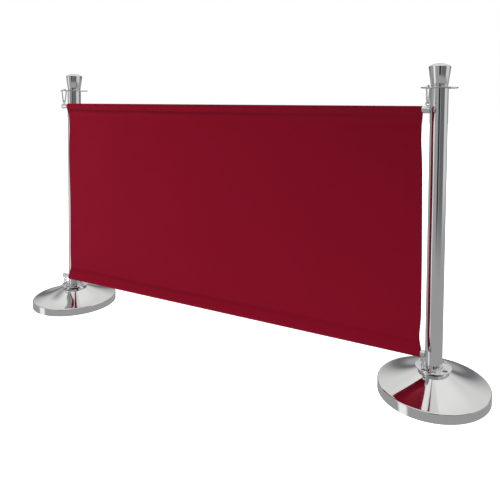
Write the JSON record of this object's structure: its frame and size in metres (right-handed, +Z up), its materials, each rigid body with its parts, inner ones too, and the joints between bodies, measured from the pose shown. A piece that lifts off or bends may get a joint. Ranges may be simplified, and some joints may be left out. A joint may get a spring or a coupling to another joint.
{
  "type": "cafe barrier with canvas banner",
  "caption": "Cafe barrier: two mirror-polished posts on round weighted bases with a red canvas banner on rods hooked between them.",
  "frame": {"origin": "on the floor, midway between the two posts", "axes": "+X along the banner to the right-hand post, -Y towards the banner's front, +Z up"},
  "size_m": [1.7914, 0.3254, 0.95],
  "materials": {
    "polished_steel": "mirror polished stainless steel",
    "rod_steel": "bright polished tube",
    "hook_steel": "bright plated wire",
    "end_plug_zinc": "satin",
    "spring_steel": "satin",
    "plain_steel": "turned",
    "cast_iron": "rough casting, painted",
    "black_rubber": "matte",
    "red_canvas": "plain woven canvas, deep red"
  },
  "bodies": {
    "banner": {"canvas": "red_canvas", "top_rod": "rod_steel", "bottom_rod": "rod_steel", "rod_end_plugs": "end_plug_zinc", "eye_bolts": "hook_steel"},
    "left_post": {"left_rubber_foot": "black_rubber", "left_base_ballast": "cast_iron", "left_base_cover": "polished_steel", "left_tie_bolt": "plain_steel", "left_tie_washer": "plain_steel", "left_lower_plug": "plain_steel", "left_post_tube": "polished_steel", "left_lower_ring": "polished_steel", "left_upper_ring": "polished_steel", "left_upper_plug": "plain_steel"},
    "left_crown": {"left_crown_stud": "plain_steel", "left_crown_hub": "plain_steel", "left_crown_cap": "polished_steel"},
    "upper_left_hook_body": {"upper_left_hook": "hook_steel", "upper_left_gate_pin": "hook_steel", "upper_left_gate_spring": "spring_steel"},
    "upper_left_gate_body": {"upper_left_gate": "hook_steel"},
    "lower_left_hook_body": {"lower_left_hook": "hook_steel", "lower_left_gate_pin": "hook_steel", "lower_left_gate_spring": "spring_steel"},
    "lower_left_gate_body": {"lower_left_gate": "hook_steel"},
    "right_post": {"right_rubber_foot": "black_rubber", "right_base_ballast": "cast_iron", "right_base_cover": "polished_steel", "right_tie_bolt": "plain_steel", "right_tie_washer": "plain_steel", "right_lower_plug": "plain_steel", "right_post_tube": "polished_steel", "right_lower_ring": "polished_steel", "right_upper_ring": "polished_steel", "right_upper_plug": "plain_steel"},
    "right_crown": {"right_crown_stud": "plain_steel", "right_crown_hub": "plain_steel", "right_crown_cap": "polished_steel"},
    "upper_right_hook_body": {"upper_right_hook": "hook_steel", "upper_right_gate_pin": "hook_steel", "upper_right_gate_spring": "spring_steel"},
    "upper_right_gate_body": {"upper_right_gate": "hook_steel"},
    "lower_right_hook_body": {"lower_right_hook": "hook_steel", "lower_right_gate_pin": "hook_steel", "lower_right_gate_spring": "spring_steel"},
    "lower_right_gate_body": {"lower_right_gate": "hook_steel"}
  },
  "joints": [
    {"name": "left_post_swing", "type": "hinge", "parent": "banner", "child": "left_post", "pos_m": [-0.73574, -0.0468, 0], "axis": [0, 0, 1], "range_deg": [-38, 38]},
    {"name": "left_crown_turn", "type": "hinge", "parent": "left_post", "child": "left_crown", "pos_m": [-0.73574, 0.0027, 0.9], "axis": [0, 0, 1], "continuous": true},
    {"name": "upper_left_hook_swivel", "type": "hinge", "parent": "banner", "child": "upper_left_hook_body", "pos_m": [-0.73574, -0.0468, 0.85], "axis": [0, 0, 1], "range_deg": [-19, 19]},
    {"name": "upper_left_gate_open", "type": "hinge", "parent": "upper_left_hook_body", "child": "upper_left_gate_body", "pos_m": [-0.73574, -0.05305, 0.8466], "axis": [-1, 0, 0], "range_deg": [0, 25], "stiffness_Nm_per_rad": 0.02, "springref_deg": -17.19},
    {"name": "lower_left_hook_swivel", "type": "hinge", "parent": "banner", "child": "lower_left_hook_body", "pos_m": [-0.73574, -0.0468, 0.09], "axis": [0, 0, 1], "range_deg": [-19, 19]},
    {"name": "lower_left_gate_open", "type": "hinge", "parent": "lower_left_hook_body", "child": "lower_left_gate_body", "pos_m": [-0.73574, -0.05143, 0.099], "axis": [1, 0, 0], "range_deg": [0, 25], "stiffness_Nm_per_rad": 0.02, "springref_deg": -17.19},
    {"name": "right_post_swing", "type": "hinge", "parent": "banner", "child": "right_post", "pos_m": [0.71326, -0.0468, 0], "axis": [0, 0, 1], "range_deg": [-11, 65]},
    {"name": "right_crown_turn", "type": "hinge", "parent": "right_post", "child": "right_crown", "pos_m": [0.73574, -0.0027, 0.9], "axis": [0, 0, 1], "continuous": true},
    {"name": "upper_right_hook_swivel", "type": "hinge", "parent": "banner", "child": "upper_right_hook_body", "pos_m": [0.71326, -0.0468, 0.85], "axis": [0, 0, 1], "range_deg": [-5.5, 32.5]},
    {"name": "upper_right_gate_open", "type": "hinge", "parent": "upper_right_hook_body", "child": "upper_right_gate_body", "pos_m": [0.71181, -0.05288, 0.8466], "axis": [-0.9724, 0.2334, 0], "range_deg": [0, 25], "stiffness_Nm_per_rad": 0.02, "springref_deg": -17.19},
    {"name": "lower_right_hook_swivel", "type": "hinge", "parent": "banner", "child": "lower_right_hook_body", "pos_m": [0.71326, -0.0468, 0.09], "axis": [0, 0, 1], "range_deg": [-5.5, 32.5]},
    {"name": "lower_right_gate_open", "type": "hinge", "parent": "lower_right_hook_body", "child": "lower_right_gate_body", "pos_m": [0.71218, -0.0513, 0.099], "axis": [0.9724, -0.2334, 0], "range_deg": [0, 25], "stiffness_Nm_per_rad": 0.02, "springref_deg": -17.19}
  ],
  "couplings": [
    {"joint": "upper_left_hook_swivel", "follows": "left_post_swing", "ratio": 0.5},
    {"joint": "lower_left_hook_swivel", "follows": "left_post_swing", "ratio": 0.5},
    {"joint": "upper_right_hook_swivel", "follows": "right_post_swing", "ratio": 0.5},
    {"joint": "lower_right_hook_swivel", "follows": "right_post_swing", "ratio": 0.5}
  ]
}
